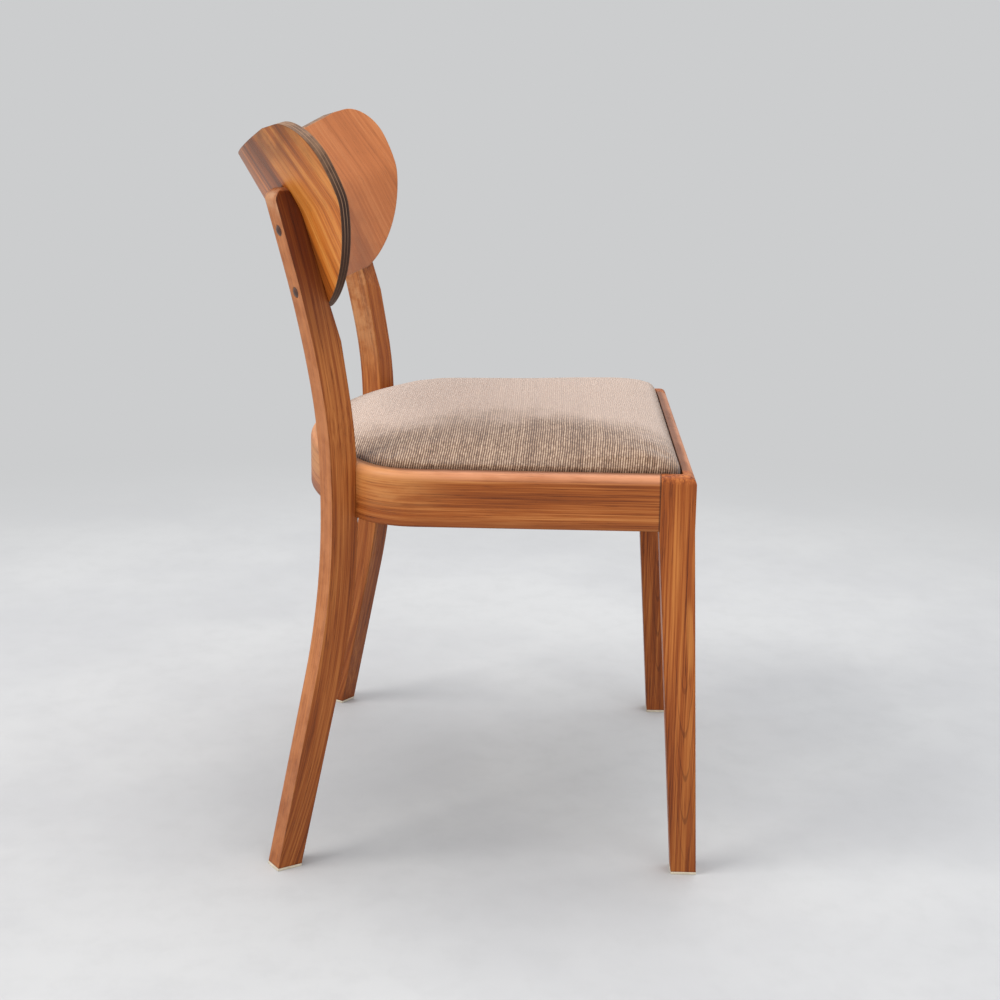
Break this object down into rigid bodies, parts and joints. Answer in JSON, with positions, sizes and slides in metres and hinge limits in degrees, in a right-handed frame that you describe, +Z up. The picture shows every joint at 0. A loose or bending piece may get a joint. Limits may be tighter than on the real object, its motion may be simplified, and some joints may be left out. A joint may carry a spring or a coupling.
{
  "type": "dining chair",
  "caption": "Wooden dining chair with a bent seat hoop, bowed back stiles, a wrapped moulded plywood back and an upholstered drop-in seat.",
  "frame": {"origin": "on the floor, at the middle of the chair's footprint box", "axes": "+Z up; the sitter faces -Y; +X is across the chair, to the sitter's left"},
  "size_m": [0.585, 0.5046, 0.7716],
  "materials": {
    "rail_wood": "satin oil, warm orange-brown, fine grain along the rail",
    "leg_wood": "satin oil, red-brown, grain along the leg",
    "stile_wood": "satin oil, worn lighter at the top",
    "moulded_plywood": "satin lacquer, face grain up the shell, dark layered edge",
    "plug_wood": "dark satin",
    "pale_wood": "raw, matt",
    "board_plywood": "raw plywood, matt",
    "foam": "open-cell upholstery foam",
    "ribbed_chenille": "brown and beige ribbed chenille",
    "dust_cloth": "black non-woven cloth",
    "screw_steel": "zinc plated",
    "insert_brass": "machined",
    "felt": "pressed cream felt"
  },
  "bodies": {
    "root": {"seat_hoop": "rail_wood", "front_rail": "rail_wood", "front_leg_left": "leg_wood", "front_leg_right": "leg_wood", "back_stile_left": "stile_wood", "back_stile_right": "stile_wood", "backrest": "moulded_plywood", "backrest_screws": "screw_steel", "backrest_plugs": "plug_wood", "stile_bolts": "screw_steel", "stile_washers": "screw_steel", "stile_inserts": "insert_brass", "side_dowels": "pale_wood", "front_dowels": "pale_wood", "corner_block_left": "pale_wood", "corner_block_right": "pale_wood", "side_cleat_left": "pale_wood", "side_cleat_right": "pale_wood", "block_screws": "screw_steel", "seat_board": "board_plywood", "seat_foam": "foam", "seat_cover": "ribbed_chenille", "dust_cover": "dust_cloth", "cover_staples": "screw_steel", "seat_screws": "screw_steel", "glide_front_left": "felt", "glide_front_right": "felt", "glide_back_left": "felt", "glide_back_right": "felt"}
  },
  "joints": []
}
